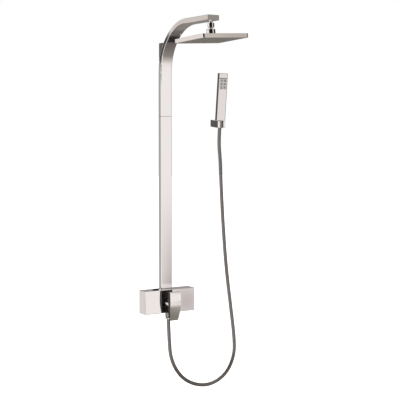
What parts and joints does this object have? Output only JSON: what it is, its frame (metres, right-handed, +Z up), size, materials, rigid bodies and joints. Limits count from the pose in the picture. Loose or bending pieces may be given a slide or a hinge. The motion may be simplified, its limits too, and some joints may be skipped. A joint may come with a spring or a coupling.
{
  "type": "rainfall shower column",
  "caption": "Wall shower column with a box mixer and lever, a flat riser bent into an arm, a square rain head and a stick hand shower on a metal hose.",
  "frame": {"origin": "middle of the mixer's back plate, on the wall", "axes": "+Z up along the riser, +Y into the wall, +X to the right as seen from the front"},
  "size_m": [0.4385, 0.4463, 1.474],
  "materials": {
    "chrome": "polished",
    "brass": "machined",
    "steel": "satin",
    "rubber": "matte",
    "nozzle_rubber": "matte",
    "plastic": "matte",
    "ceramic": "lapped",
    "spray_plate": "glossy",
    "dark_metal": "dark grey satin",
    "hose_metal": "polished spiral"
  },
  "bodies": {
    "column": {"mixer_casing": "chrome", "back_plate": "steel", "valve_body": "brass", "inlet_filters": "plastic", "cartridge_housing": "plastic", "cartridge_base_seal": "rubber", "fixed_ceramic_disc": "ceramic", "cartridge_nut": "brass", "cartridge_dome": "chrome", "diverter_bush": "brass", "riser_spigot": "brass", "spigot_o_rings": "rubber", "riser_base_plug": "brass", "lower_riser": "chrome", "riser_coupling": "brass", "coupling_seals": "rubber", "arm_tube": "chrome", "arm_end_cap": "chrome", "arm_outlet_boss": "brass", "bracket_body": "dark_metal", "bracket_wall_plate": "steel", "bracket_grub_screw": "steel", "ball_stud": "chrome", "outlet_nipple": "chrome", "hose_nut": "chrome", "hose_washer": "rubber", "lower_ferrule": "chrome", "hose": "hose_metal", "holder_fork": "chrome", "seat_liner": "plastic", "holder_wall_plate": "steel", "holder_grub_screw": "steel"},
    "mixing_carrier": {"stem_carrier": "plastic", "stem_pin": "steel"},
    "lever": {"lever_handle": "chrome", "cartridge_stem": "steel", "lever_grub_screw": "steel", "lever_plug": "rubber"},
    "mixing_disc": {"moving_ceramic_disc": "ceramic", "disc_driver": "plastic"},
    "diverter": {"diverter_spool": "brass", "diverter_o_ring": "rubber", "diverter_knob": "chrome"},
    "ball_seat": {"ball_seat": "plastic"},
    "ball_collar": {"ball_collar": "chrome"},
    "rain_head": {"head_top_shell": "chrome", "head_face_plate": "chrome", "head_nozzles": "nozzle_rubber", "head_gasket": "rubber", "ball_o_ring": "rubber"},
    "handset_nut": {"hose_cone_nut": "chrome", "cone_washer": "rubber", "upper_ferrule": "chrome"},
    "handset": {"handset_body": "chrome", "handset_connector": "brass", "spray_plate": "spray_plate", "spray_nozzles": "nozzle_rubber"}
  },
  "joints": [
    {"name": "lever_temperature", "type": "hinge", "parent": "column", "child": "mixing_carrier", "pos_m": [0, -0.053, -0.008], "axis": [0, 1, 0], "range_deg": [-45, 45]},
    {"name": "lever_flow", "type": "hinge", "parent": "mixing_carrier", "child": "lever", "pos_m": [0, -0.053, -0.008], "axis": [-1, 0, 0], "range_deg": [0, 22]},
    {"name": "disc_shift", "type": "slide", "parent": "mixing_carrier", "child": "mixing_disc", "axis": [0, 0, -1], "range_m": [0, 0.0029]},
    {"name": "diverter_pull", "type": "slide", "parent": "column", "child": "diverter", "axis": [0, 0, -1], "range_m": [0, 0.008]},
    {"name": "head_tilt_front", "type": "hinge", "parent": "column", "child": "ball_seat", "pos_m": [0, -0.345, 1.046], "axis": [1, 0, 0], "range_deg": [-12, 12]},
    {"name": "head_tilt_side", "type": "hinge", "parent": "ball_seat", "child": "ball_collar", "pos_m": [0, -0.345, 1.046], "axis": [0, 1, 0], "range_deg": [-12, 12]},
    {"name": "head_swivel", "type": "hinge", "parent": "ball_collar", "child": "rain_head", "pos_m": [0, -0.345, 1.046], "axis": [-0.0523, 0.0349, 0.998], "continuous": true},
    {"name": "handset_lift", "type": "slide", "parent": "column", "child": "handset_nut", "axis": [0, -0.1045, 0.9945], "range_m": [0, 0.1]},
    {"name": "handset_twist", "type": "hinge", "parent": "handset_nut", "child": "handset", "pos_m": [0.241, -0.044, 0.719], "axis": [0, -0.1045, 0.9945], "continuous": true}
  ],
  "couplings": [
    {"joint": "disc_shift", "follows": "lever_flow", "m_per_rad": 0.0075}
  ]
}
